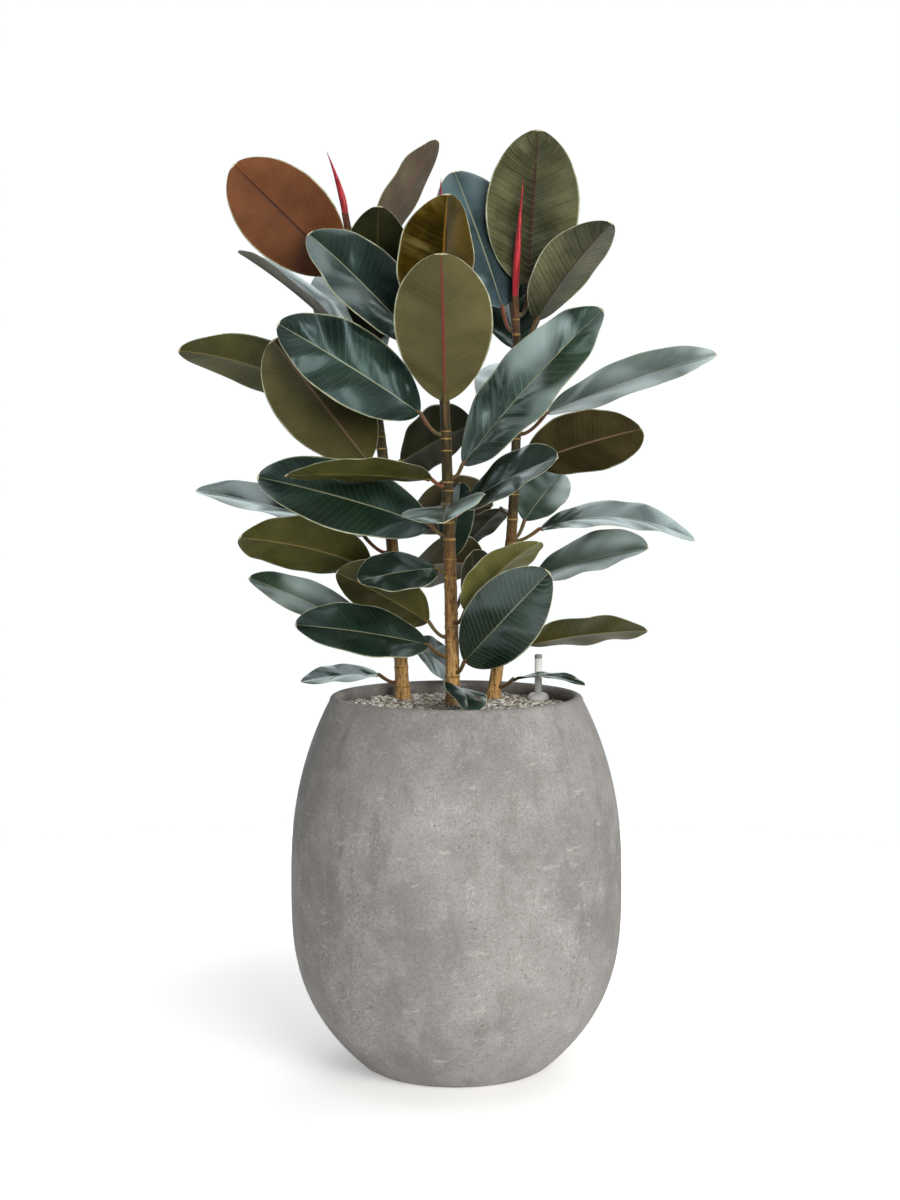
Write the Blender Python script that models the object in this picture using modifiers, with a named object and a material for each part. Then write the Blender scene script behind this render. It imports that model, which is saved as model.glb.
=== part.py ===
"""Rubber plant with three stems in a barrel-shaped concrete planter, in metres, underside at the origin."""
import math
from collections import namedtuple

import bmesh
import bpy
from mathutils import Vector

# Planter
POT_HEIGHT = 0.500
POT_WIDEST_RADIUS = 0.221
POT_WIDEST_HEIGHT = 0.250
POT_BASE_RADIUS = 0.120
POT_RIM_RADIUS = 0.165
POT_LOWER_POWER = 3.0
POT_UPPER_POWER = 2.4
POT_WALL = 0.015
POT_FLOOR = 0.020
POT_EDGE = 0.006
POT_SIDES = 48
PROFILE_STEPS = 8

# Filling of clay granulate
FILL_TOP = 0.482
FILL_BOTTOM = 0.330
CLEARANCE = 0.0003

# Water gauge
GAUGE_X = 0.112
GAUGE_Y = 0.075
GAUGE_FOOT_RADIUS = 0.015
GAUGE_FOOT_HEIGHT = 0.011
GAUGE_TUBE_RADIUS = 0.005
GAUGE_TUBE_HEIGHT = 0.052

# Leaf proportions
PETIOLE_RADIUS = 0.0024
PETIOLE_STEPS = 3
BLADE_STEPS = (0.05, 0.12, 0.24, 0.38, 0.52, 0.66, 0.80, 0.92, 1.0)
BASE_POWER = 0.62
TIP_POWER = 0.60
DRIP_TIP = 0.0018
THICKNESS_SHARE = 1 / 88
EDGE_FLATTENING = 0.35

# Stems and sheaths are curves whose points carry the radius as a share of this bevel
LIMB_BEVEL = 0.010
STEM_STEPS = 14
LEVEL_END = 0.003
STEM_RESOLUTION = 4
SHEATH_STEPS = 5
SHEATH_RESOLUTION = 2

Stem = namedtuple("Stem", "foot tip bow foot_radius tip_radius")
STEMS = {
    "left": Stem((-0.073, 0.085), (-0.149, 0.065, 1.140), 0.012, 0.0100, 0.0050),
    "middle": Stem((-0.004, 0.020), (-0.024, 0.000, 1.090), 0.002, 0.0100, 0.0052),
    "right": Stem((0.050, 0.090), (0.079, 0.075, 1.030), 0.0135, 0.0092, 0.0050),
}
FLARE = 0.30
FLARE_HEIGHT = 0.030

# Rolled young leaves that end the stems: lean of the tip in x and y, length, radius at the foot
SHEATHS = {
    "left": (-0.024, -0.004, 0.082, 0.0042),
    "middle": (0.004, -0.006, 0.090, 0.0042),
    "right": (0.011, -0.003, 0.160, 0.0042),
}

# One row per leaf: stem, node height, petiole, heading, rise, length, width, roll, arch, fold.
# Heading runs from +X (0) over +Y (90, away from the front); roll turns the upper side to the right.
Leaf = namedtuple("Leaf", "stem node petiole heading rise length width roll arch fold")
LEAVES = {
    "leaf_left_1": Leaf("left", 1.040, 0.030, -150, 40, 0.205, 0.121, 66, 0.02, 8),
    "leaf_left_2": Leaf("left", 0.944, 0.030, 154, 36, 0.220, 0.100, 8, 0.03, 32),
    "leaf_left_3": Leaf("left", 0.848, 0.040, -175, 20, 0.246, 0.104, 42, 0.09, 12),
    "leaf_left_4": Leaf("left", 0.780, 0.035, -141, 46, 0.223, 0.126, 55, 0.02, 10),
    "leaf_left_5": Leaf("left", 0.932, 0.040, -75, 82, 0.178, 0.098, -15, 0.02, 10),
    "leaf_left_6": Leaf("left", 0.684, 0.040, 178, 15, 0.236, 0.110, -20, 0.03, 16),
    "leaf_left_7": Leaf("left", 0.646, 0.035, -154, 13, 0.194, 0.112, 42, 0.05, 10),
    "leaf_left_8": Leaf("left", 0.547, 0.030, -171, 26, 0.194, 0.080, -38, 0.03, 14),
    "leaf_left_9": Leaf("left", 0.506, 0.025, -170, -4, 0.107, 0.055, -20, 0.04, 12),
    "leaf_left_10": Leaf("left", 1.058, 0.030, 8, 60, 0.178, 0.075, -42, 0.02, 12),
    "leaf_middle_1": Leaf("middle", 0.940, 0.040, -84, 80, 0.180, 0.134, 26, 0.04, 28),
    "leaf_middle_2": Leaf("middle", 0.930, 0.045, 180, 45, 0.202, 0.120, -52, 0.03, 22),
    "leaf_middle_3": Leaf("middle", 0.855, 0.040, -92, 57, 0.219, 0.130, 0, 0.04, 10),
    "leaf_middle_4": Leaf("middle", 0.845, 0.040, -163, 31, 0.223, 0.112, -74, 0.03, 10),
    "leaf_middle_5": Leaf("middle", 0.788, 0.022, -16, 47, 0.276, 0.124, 56, 0.03, 12),
    "leaf_middle_6": Leaf("middle", 0.777, 0.020, -152, 2, 0.210, 0.095, 20, 0.02, 12),
    "leaf_middle_7": Leaf("middle", 0.735, 0.030, -42, 22, 0.168, 0.090, 50, 0.03, 14),
    "leaf_middle_8": Leaf("middle", 0.733, 0.048, -92, -8, 0.125, 0.116, 14, 0.02, 16),
    "leaf_middle_9": Leaf("middle", 0.712, 0.020, -170, 16, 0.240, 0.116, -54, 0.03, 10),
    "leaf_middle_10": Leaf("middle", 0.662, 0.014, -148, -6, 0.120, 0.078, -36, 0.03, 8),
    "leaf_middle_11": Leaf("middle", 0.594, 0.025, -45, 36, 0.165, 0.076, -14, 0.06, 12),
    "leaf_middle_12": Leaf("middle", 0.528, 0.020, -49, 38, 0.208, 0.102, 108, 0.02, 8),
    "leaf_middle_13": Leaf("middle", 0.549, 0.030, -159, 10, 0.188, 0.089, -48, 0.03, 12),
    "leaf_middle_14": Leaf("middle", 0.500, 0.025, -83, -8, 0.121, 0.062, -20, 0.08, 10),
    "leaf_middle_15": Leaf("middle", 0.575, 0.030, 177, 28, 0.140, 0.100, 55, 0.03, 12),
    "leaf_right_1": Leaf("right", 1.005, 0.040, 20, 86, 0.210, 0.128, -110, 0.02, 8),
    "leaf_right_2": Leaf("right", 0.984, 0.035, 150, 68, 0.201, 0.118, -44, 0.03, 14),
    "leaf_right_3": Leaf("right", 0.965, 0.040, -30, 48, 0.168, 0.098, -30, 0.06, 24),
    "leaf_right_4": Leaf("right", 0.845, 0.045, -11, 19, 0.241, 0.118, 28, 0.02, 12),
    "leaf_right_5": Leaf("right", 0.796, 0.018, -40, 14, 0.194, 0.099, -52, 0.03, 8),
    "leaf_right_6": Leaf("right", 0.704, 0.030, 46, 40, 0.100, 0.070, 30, 0.03, 12),
    "leaf_right_7": Leaf("right", 0.700, 0.035, -1, -4, 0.212, 0.096, 20, 0.12, 12),
    "leaf_right_8": Leaf("right", 0.626, 0.040, -30, 15, 0.178, 0.106, 34, 0.03, 20),
    "leaf_right_9": Leaf("right", 0.540, 0.035, -16, 8, 0.170, 0.088, -30, 0.03, 12),
    "leaf_right_10": Leaf("right", 0.500, 0.025, -38, 0, 0.118, 0.040, 4, 0.07, 12),
    "leaf_rear_1": Leaf("left", 0.905, 0.040, 110, 40, 0.215, 0.110, 0, 0.04, 12),
    "leaf_rear_2": Leaf("left", 0.795, 0.020, 25, 25, 0.120, 0.115, -55, 0.03, 12),
    "leaf_rear_3": Leaf("left", 0.718, 0.030, 40, 4, 0.150, 0.100, -60, 0.05, 12),
    "leaf_rear_4": Leaf("left", 0.648, 0.025, 48, 0, 0.150, 0.096, -55, 0.05, 12),
    "leaf_rear_5": Leaf("right", 0.930, 0.040, 96, 45, 0.205, 0.105, 0, 0.04, 12),
    "leaf_rear_6": Leaf("right", 0.825, 0.040, 90, 25, 0.225, 0.112, 0, 0.04, 12),
    "leaf_rear_7": Leaf("right", 0.735, 0.030, 115, -28, 0.130, 0.066, 0, 0.03, 12),
    "leaf_rear_8": Leaf("right", 0.600, 0.035, 85, 5, 0.190, 0.095, 0, 0.05, 12),
    "leaf_rear_9": Leaf("middle", 0.895, 0.045, 94, 36, 0.195, 0.100, 0, 0.04, 12),
    "leaf_rear_10": Leaf("left", 0.552, 0.014, 40, -32, 0.088, 0.070, 55, 0.04, 10),
    "leaf_rear_11": Leaf("left", 1.060, 0.030, 158, 34, 0.150, 0.084, 0, 0.04, 12),
    "leaf_rear_12": Leaf("right", 0.985, 0.045, 98, 58, 0.180, 0.095, 0, 0.04, 12),
    "leaf_rear_13": Leaf("middle", 0.660, 0.025, 80, 58, 0.115, 0.050, 0, 0.04, 12),
    "leaf_rear_14": Leaf("middle", 0.612, 0.025, 58, 34, 0.085, 0.064, -80, 0.04, 12),
}

COLOURS = {
    "planter": (0.30, 0.29, 0.27, 0.85),
    "substrate": (0.42, 0.36, 0.28, 0.95),
    "gauge_foot": (0.60, 0.60, 0.58, 0.45),
    "gauge_tube": (0.75, 0.78, 0.78, 0.15),
    "stem": (0.22, 0.17, 0.08, 0.70),
    "sheath": (0.45, 0.06, 0.07, 0.40),
    "leaf": (0.03, 0.09, 0.07, 0.25),
}


def clear_scene():
    for obj in list(bpy.data.objects):
        bpy.data.objects.remove(obj, do_unlink=True)


def make_material(name):
    red, green, blue, roughness = COLOURS[name]
    material = bpy.data.materials.new(name)
    material.use_nodes = True
    shader = material.node_tree.nodes["Principled BSDF"]
    shader.inputs["Base Color"].default_value = (red, green, blue, 1.0)
    shader.inputs["Roughness"].default_value = roughness
    shader.inputs["Metallic"].default_value = 0.0
    material.diffuse_color = (red, green, blue, 1.0)
    return material


def add_object(name, data, colour, root, location=(0.0, 0.0, 0.0), turn=0.0):
    """Place mesh or curve data with its own material, parented to the plant's empty."""
    obj = bpy.data.objects.new(name, data)
    data.materials.append(make_material(colour))
    root.users_collection[0].objects.link(obj)
    obj.parent = root
    obj.location = location
    obj.rotation_euler = (0.0, 0.0, turn)
    return obj


def turned(name, profile, sides, colour, root, location=(0.0, 0.0, 0.0)):
    """Screw a profile of (radius, height) points that runs down its outer side."""
    mesh = bpy.data.meshes.new(name)
    edges = [(i, i + 1) for i in range(len(profile) - 1)]
    mesh.from_pydata([(radius, 0.0, height) for radius, height in profile], edges, [])
    obj = add_object(name, mesh, colour, root, location)
    screw = obj.modifiers.new("screw", "SCREW")
    screw.steps = sides
    screw.render_steps = sides
    screw.use_merge_vertices = True
    screw.merge_threshold = 0.0001
    screw.use_smooth_shade = True
    return obj


def tapered(name, points, radii, resolution, colour, root):
    """A round limb: a curve through the points, filled at both ends, with its own radius at each."""
    curve = bpy.data.curves.new(name, "CURVE")
    curve.dimensions = "3D"
    curve.bevel_depth = LIMB_BEVEL
    curve.bevel_resolution = resolution
    curve.use_fill_caps = True
    spline = curve.splines.new("POLY")
    spline.points.add(len(points) - 1)
    for knot, point, radius in zip(spline.points, points, radii):
        knot.co = (point[0], point[1], point[2], 1.0)
        knot.radius = radius / LIMB_BEVEL
    return add_object(name, curve, colour, root)


def loft(name, rings, colour, root, location, turn):
    """Skin rings of equal point count that change from round to flat; both ends are capped."""
    count = len(rings[0])
    body = bmesh.new()
    rows = [[body.verts.new(point) for point in ring] for ring in rings]
    body.faces.new(reversed(rows[0]))
    body.faces.new(rows[-1])
    for low, high in zip(rows, rows[1:]):
        for i in range(count):
            j = (i + 1) % count
            body.faces.new((low[i], low[j], high[j], high[i]))
    bmesh.ops.triangulate(body, faces=body.faces)
    bmesh.ops.recalc_face_normals(body, faces=body.faces)
    mesh = bpy.data.meshes.new(name)
    body.to_mesh(mesh)
    body.free()
    mesh.shade_smooth()
    return add_object(name, mesh, colour, root, location, turn)


def pot_radius(height):
    """Outer radius of the planter: one curve below the widest place, one above it."""
    if height < POT_WIDEST_HEIGHT:
        share = 1 - POT_BASE_RADIUS / POT_WIDEST_RADIUS
        reach = (POT_WIDEST_HEIGHT - height) / POT_WIDEST_HEIGHT
        return POT_WIDEST_RADIUS * (1 - share * reach ** POT_LOWER_POWER)
    share = 1 - POT_RIM_RADIUS / POT_WIDEST_RADIUS
    reach = (height - POT_WIDEST_HEIGHT) / (POT_HEIGHT - POT_WIDEST_HEIGHT)
    return POT_WIDEST_RADIUS * (1 - share * reach ** POT_UPPER_POWER)


def planter_profile():
    """From the middle of the floor up the inner wall, over the lip and down the outside."""
    edge = POT_EDGE
    inner = []
    for step in range(PROFILE_STEPS + 4):
        height = POT_FLOOR + (POT_HEIGHT - edge - POT_FLOOR) * step / (PROFILE_STEPS + 3)
        inner.append((pot_radius(height) - POT_WALL, height))
    rim = POT_RIM_RADIUS
    lip = [(rim - POT_WALL + edge / 2, POT_HEIGHT - edge / 3), (rim - POT_WALL / 2, POT_HEIGHT),
           (rim - edge / 2, POT_HEIGHT - edge / 3)]
    outer = []
    for step in range(2 * PROFILE_STEPS):
        height = POT_HEIGHT - edge - (POT_HEIGHT - 2 * edge) * step / (2 * PROFILE_STEPS - 1)
        outer.append((pot_radius(height), height))
    foot = [(POT_BASE_RADIUS - 0.001, edge / 3), (POT_BASE_RADIUS - edge, 0.0), (0.0, 0.0)]
    return [(0.0, POT_FLOOR)] + inner + lip + outer + foot


def fill_profile():
    """The granulate stands clear of the wall and fills the upper part of the planter."""
    side = []
    for step in range(6):
        height = FILL_TOP - (FILL_TOP - FILL_BOTTOM) * step / 5
        side.append((pot_radius(height) - POT_WALL - 5 * CLEARANCE, height))
    return [(0.0, FILL_TOP)] + side + [(0.0, FILL_BOTTOM)]


def add_gauge(root):
    """A domed foot on the granulate with an upright tube on it."""
    low = FILL_TOP + CLEARANCE
    high = low + GAUGE_FOOT_HEIGHT
    foot = [(0.0, high), (GAUGE_TUBE_RADIUS, high), (GAUGE_FOOT_RADIUS * 0.7, high - 0.002),
            (GAUGE_FOOT_RADIUS, low + 0.004), (GAUGE_FOOT_RADIUS, low), (0.0, low)]
    turned("gauge_foot", foot, 24, "gauge_foot", root, (GAUGE_X, GAUGE_Y, 0.0))
    low = high + CLEARANCE
    high = low + GAUGE_TUBE_HEIGHT
    tube = [(0.0, high), (GAUGE_TUBE_RADIUS * 0.8, high), (GAUGE_TUBE_RADIUS, high - 0.001),
            (GAUGE_TUBE_RADIUS, low), (0.0, low)]
    turned("gauge_tube", tube, 16, "gauge_tube", root, (GAUGE_X, GAUGE_Y, 0.0))


def stem_point(name, height):
    stem = STEMS[name]
    foot = Vector((stem.foot[0], stem.foot[1], FILL_TOP))
    share = (height - FILL_TOP) / (stem.tip[2] - FILL_TOP)
    point = foot.lerp(Vector(stem.tip), share)
    point.x += stem.bow * 4 * share * (1 - share)
    point.z = height
    return point


def stem_radius(name, height):
    stem = STEMS[name]
    share = (height - FILL_TOP) / (stem.tip[2] - FILL_TOP)
    radius = stem.foot_radius + (stem.tip_radius - stem.foot_radius) * share
    flare = max(0.0, 1 - (height - FILL_TOP) / FLARE_HEIGHT)
    return radius * (1 + FLARE * flare ** 2)


def add_stem(name, root):
    """Level cuts at ground level and at the tip, root flare, then a straight taper."""
    low = FILL_TOP + CLEARANCE
    high = STEMS[name].tip[2]
    points = []
    radii = []
    for step in range(STEM_STEPS + 1):
        height = low + (high - low) * (step / STEM_STEPS) ** 1.3
        points.append(stem_point(name, height))
        radii.append(stem_radius(name, height))
    points[0].xy = points[1].xy
    points.insert(-1, points[-1] - Vector((0.0, 0.0, LEVEL_END)))
    radii.insert(-1, radii[-1])
    tapered(f"stem_{name}", points, radii, STEM_RESOLUTION, "stem", root)


def add_sheath(name, root):
    lean_x, lean_y, length, radius = SHEATHS[name]
    foot = Vector(STEMS[name].tip) + Vector((0.0, 0.0, CLEARANCE))
    points = []
    radii = []
    for step in range(SHEATH_STEPS + 1):
        share = step / SHEATH_STEPS
        points.append(foot + Vector((lean_x * share ** 1.4, lean_y * share, length * share)))
        radii.append(radius * (1 - 0.8 * share))
    points[1].xy = points[0].xy
    tapered(f"sheath_{name}", points, radii, SHEATH_RESOLUTION, "sheath", root)


def tilted(rise):
    """Unit vector in the leaf's upright plane, which is X and Z before the leaf is turned."""
    rise = math.radians(rise)
    return Vector((math.cos(rise), 0.0, math.sin(rise)))


def half_width(leaf, share):
    """Outline of the blade: rounded at the base, pointed at the tip."""
    widest = BASE_POWER / (BASE_POWER + TIP_POWER)
    peak = widest ** BASE_POWER * (1 - widest) ** TIP_POWER
    curve = share ** BASE_POWER * (1 - share) ** TIP_POWER / peak
    return max(leaf.width / 2 * curve, DRIP_TIP)


def leaf_start(leaf):
    """Where the stalk begins, just outside the stem's surface on the leaf's side."""
    heading = math.radians(leaf.heading)
    out = Vector((math.cos(heading), math.sin(heading), 0.0))
    centre = stem_point(leaf.stem, leaf.node)
    slope = abs((stem_point(leaf.stem, leaf.node + 0.01) - centre).dot(out)) / 0.01
    return centre + out * (stem_radius(leaf.stem, leaf.node) + CLEARANCE + slope * 2 * PETIOLE_RADIUS)


def petiole_points(leaf):
    """The stalk leaves the stem level and bends up to the foot of the blade."""
    bend = Vector((leaf.petiole * 0.3, 0.0, 0.0))
    end = tilted(min(75.0, max(10.0, 30.0 + leaf.rise / 2))) * leaf.petiole
    points = []
    for step in range(PETIOLE_STEPS + 1):
        t = step / PETIOLE_STEPS
        points.append(bend * 2 * t * (1 - t) + end * t ** 2)
    return points


def blade_axes(leaf):
    """Unit vectors along the midrib, to the right of it and out of the upper side."""
    along = tilted(leaf.rise)
    upper = tilted(leaf.rise + 90)
    roll = math.radians(leaf.roll)
    normal = upper * math.cos(roll) + along.cross(upper) * math.sin(roll)
    return along, along.cross(normal), normal


def round_section(centre, tangent, right):
    """Ten points round the stalk, in the order of a blade section."""
    side = (right - tangent * right.dot(tangent)).normalized()
    up = side.cross(tangent)
    ring = []
    for degrees in (160, 125, 90, 55, 20, -20, -55, -90, -125, -160):
        angle = math.radians(degrees)
        ring.append(centre + (side * math.cos(angle) + up * math.sin(angle)) * PETIOLE_RADIUS)
    return ring


def blade_section(leaf, centre, right, normal, share):
    """Ten points round a folded strip of even thickness: the upper side, then the under side."""
    width = half_width(leaf, share)
    fold = math.radians(leaf.fold)
    upper = []
    for across in (-1.0, -0.5, 0.0, 0.5, 1.0):
        reach = abs(across)
        lift = width * math.sin(fold) * reach * (1 - EDGE_FLATTENING * reach)
        upper.append(centre + right * (across * width * math.cos(fold)) + normal * lift)
    thickness = leaf.length * THICKNESS_SHARE
    lower = [point - normal * thickness for point in reversed(upper)]
    return upper + lower


def leaf_rings(leaf):
    stalk = petiole_points(leaf)
    along, right, normal = blade_axes(leaf)
    rings = [round_section(stalk[0], Vector((1.0, 0.0, 0.0)), right)]
    for before, here, after in zip(stalk, stalk[1:], stalk[2:]):
        rings.append(round_section(here, (after - before).normalized(), right))
    rings.append(round_section(stalk[-1], along, right))
    for share in BLADE_STEPS:
        arch = leaf.arch * leaf.length * 4 * share * (1 - share)
        centre = stalk[-1] + along * (leaf.length * share) + normal * arch
        rings.append(blade_section(leaf, centre, right, normal, share))
    return rings


def build():
    clear_scene()
    collection = bpy.data.collections.new("rubber_plant")
    bpy.context.scene.collection.children.link(collection)
    root = bpy.data.objects.new("rubber_plant_origin", None)
    collection.objects.link(root)
    turned("planter", planter_profile(), POT_SIDES, "planter", root)
    turned("substrate", fill_profile(), POT_SIDES, "substrate", root)
    add_gauge(root)
    for name in STEMS:
        add_stem(name, root)
        add_sheath(name, root)
    for name, leaf in LEAVES.items():
        loft(name, leaf_rings(leaf), "leaf", root, leaf_start(leaf), math.radians(leaf.heading))


build()
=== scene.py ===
"""Rubber plant with three stems in a barrel-shaped concrete planter, finished for rendering, in metres."""

import math
import random
from collections import namedtuple

import bmesh
import bpy
from mathutils import Matrix, Vector, noise


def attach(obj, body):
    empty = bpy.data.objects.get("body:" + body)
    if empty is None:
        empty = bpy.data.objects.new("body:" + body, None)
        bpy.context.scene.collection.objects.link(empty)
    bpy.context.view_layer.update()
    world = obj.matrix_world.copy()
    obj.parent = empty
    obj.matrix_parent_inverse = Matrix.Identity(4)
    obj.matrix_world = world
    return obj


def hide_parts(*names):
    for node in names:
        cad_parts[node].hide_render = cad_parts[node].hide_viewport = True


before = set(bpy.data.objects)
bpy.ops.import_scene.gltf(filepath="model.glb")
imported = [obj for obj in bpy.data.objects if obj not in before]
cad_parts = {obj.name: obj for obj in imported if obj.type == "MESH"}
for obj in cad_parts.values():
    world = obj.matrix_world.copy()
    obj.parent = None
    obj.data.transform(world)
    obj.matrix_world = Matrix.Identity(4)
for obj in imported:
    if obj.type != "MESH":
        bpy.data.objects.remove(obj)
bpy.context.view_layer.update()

# Camera, at the photograph's viewing angle
CAMERA_PLACE = (-0.0085, -3.0, 0.871)
CAMERA_DOWN = 4.67
CAMERA_LENS = 68.04
CAMERA_SENSOR = 36.0

FLOOR_RADIUS = 1.8
FLOOR_SIDES = 96

# Lights, all turned to one place
LIGHT_AIM = (0.0, 0.0, 0.70)
PANEL_TINT = (0.87, 0.97, 0.98)
Lamp = namedtuple("Lamp", "name place size power tint", defaults=[PANEL_TINT])
# These don't show in gloss
SOFT_LIGHTS = (
    Lamp("key", (1.50, -3.35, 1.7), (2.2, 2.2), 165, (1.0, 0.985, 0.96)),
    Lamp("fill_behind", (0.9, 3.5, 1.5), (2.6, 2.6), 60, (1.0, 0.99, 0.97)),
)
TOP_LIGHT = Lamp("top", (0.3, 0.3, 4.0), (3.4, 3.4), 60, (0.97, 0.985, 1.0))
# These only show in gloss
PANELS = (
    Lamp("rear", (0.0, 2.7, 2.4), (4.4, 1.8), 36),
    Lamp("rear_right", (2.3, 1.6, 2.7), (1.8, 1.5), 26),
    Lamp("left", (-2.6, 0.3, 2.1), (3.0, 1.6), 21),
    Lamp("front_left", (-1.9, -1.9, 2.4), (0.8, 1.2), 12),
    Lamp("pane_1", (2.50, -1.66, 1.9), (0.45, 1.5), 11),
    Lamp("pane_2", (1.81, -2.40, 1.9), (0.45, 1.5), 11),
)

# Surroundings: brighter behind the plant in gloss, dim for diffuse light, white to the camera
SKY_TINT = (0.95, 0.98, 1.0, 1.0)
SKY_BEHIND = (0.10, 0.95, 0.25)
SKY_DIFFUSE = 0.18
SKY_SEEN = 1.05

# Planter
POT_HEIGHT = 0.500
POT_WIDEST_RADIUS = 0.221
POT_WIDEST_HEIGHT = 0.250
POT_BASE_RADIUS = 0.120
POT_RIM_RADIUS = 0.165
POT_LOWER_POWER = 3.0
POT_UPPER_POWER = 2.4
POT_WALL = 0.015
POT_FLOOR = 0.020
POT_EDGE = 0.006
POT_SIDES = 128
POT_ROWS = 48
LIP_STEPS = 10

# Clay granulate
FILL_TOP = 0.482
PEBBLE_SPACING = 0.0056
PEBBLE_SIZES = (0.0023, 0.0038)
PEBBLE_LAYERS = 2
PEBBLE_SEED = 11
# Name, colour, roughness and share
GRANULES = (
    ("granule_white", "#dcdad4", 0.80, 0.30),
    ("granule_beige", "#b4ad9e", 0.85, 0.30),
    ("granule_grey", "#8f8c85", 0.85, 0.26),
    ("granule_brown", "#6b6154", 0.88, 0.14),
)
PEBBLE_JITTER = (-0.3, 0.3)
PEBBLE_DENT = 0.22
ROW_SPACING = 0.87
LAYER_HEIGHT = 0.0016

# Water gauge
GAUGE_PLACE = (0.112, 0.075)
GAUGE_FOOT_RADIUS = 0.015
GAUGE_FOOT_HEIGHT = 0.011
GAUGE_TUBE_RADIUS = 0.005
GAUGE_TUBE_TOP = 0.5455
GAUGE_CAP_HEIGHT = 0.005
GAUGE_TUBE_WALL = 0.0008
GAUGE_ROD_RADIUS = 0.0016
GAUGE_DOME_STEPS = 8

# Leaf proportions
PETIOLE_RADIUS = 0.0025
PETIOLE_STEPS = 10
PETIOLE_SIDES = 12
PETIOLE_SUNK = 0.004
PETIOLE_ENDS = (0.02, 0.05)
BLADE_STEPS = 60
ACROSS = (0.0, 0.012, 0.03, 0.06, 0.14, 0.26, 0.40, 0.55, 0.70, 0.84, 0.93, 0.97, 1.0)
BASE_POWER = 0.62
TIP_POWER = 0.60
DRIP_TIP = 0.0016
MARGIN_FROM = 0.97
DRY_FROM = 0.988
THICKNESS_SHARE = 1 / 88
BLADE_THICKNESS = 0.0008
EDGE_FLATTENING = 0.35
MIDRIB_HEIGHT = 0.0016
MIDRIB_REACH = 0.0042
VEIN_SLANT = 0.14
VEIN_COUNT = 24
NETTING_COUNT = VEIN_COUNT * 2.6
# Parts of the mesh, in the order of its materials
UPPER, UNDER, MARGIN, DRY, STALK = range(5)

# Waves of the margin, ripples and wrinkles of the blade
MARGIN_WAVE = 0.0016
WAVE_COUNTS = (1.6, 3.2)
WAVE_SIZES = (0.5, 1.0)
PHASES = (0, 6.28)
RIPPLE = 0.0010
RIPPLE_COUNTS = (2.0, 3.6)
RIPPLE_SIZES = (0.4, 1.2)
SIDE_SHIFT = 1.3
ECHO_SIZE = 0.35
ECHO_TURNS = 3.4
WRINKLE = 0.0004
WRINKLE_COUNTS = (9.0, 12.0)
USUAL_WRINKLES = 0.15

# Pattern and texture layouts of a leaf
LAYOUTS = ("Blade", "OFBake")
# The texture layout: the two sides, thin strips for rim and ends, a low band for the stalk
BAKE_LOW = 0.12
BAKE_HEIGHT = 0.87
BAKE_MIDDLES = {"upper": 0.25, "under": 0.75}
BAKE_REACH = 0.235
BAKE_STRIP = 0.008
BAKE_INSET = 0.002
BAKE_ENDS = (0.104, 0.991)

# Stems
Stem = namedtuple("Stem", "foot tip bow foot_radius tip_radius")
STEMS = {
    "left": Stem((-0.073, 0.085), (-0.149, 0.065, 1.140), 0.012, 0.0100, 0.0050),
    "middle": Stem((-0.004, 0.020), (-0.024, 0.000, 1.090), 0.002, 0.0100, 0.0052),
    "right": Stem((0.050, 0.090), (0.079, 0.075, 1.030), 0.0135, 0.0092, 0.0050),
}
FLARE = 0.30
FLARE_HEIGHT = 0.030
STEM_SIDES = 24
STEM_ROW = 0.0016
SCAR_HEIGHT = 0.0018
SCAR_SWELL = 0.0006
SCAR_SWELL_REACH = 0.0022
SCAR_SPACING = 0.024
SCAR_STEPS = (0.7, 1.9)
BARK_RELIEF = 0.0005
ROUGH_BARK_HEIGHT = 0.35
BARK_TOP = 1.14
# Share of the way up to there, and colour; the dark olive in the middle is partly the wood's own and partly
# painted shade from the leaves
BARK_AND_SHADE_COLOURS = ((0.0, "#b98f58"), (0.09, "#966f3f"), (0.20, "#6a4a24"), (0.36, "#302c14"),
                (0.75, "#272511"), (1.0, "#572a1f"))

# Rolled young leaves that end the stems: lean of the tip in x and y, length, radius at the foot
SHEATHS = {
    "left": (-0.024, -0.004, 0.082, 0.0042),
    "middle": (0.004, -0.006, 0.090, 0.0042),
    "right": (0.011, -0.003, 0.160, 0.0042),
}
SHEATH_ROWS = 40
SHEATH_SIDES = 20

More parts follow.
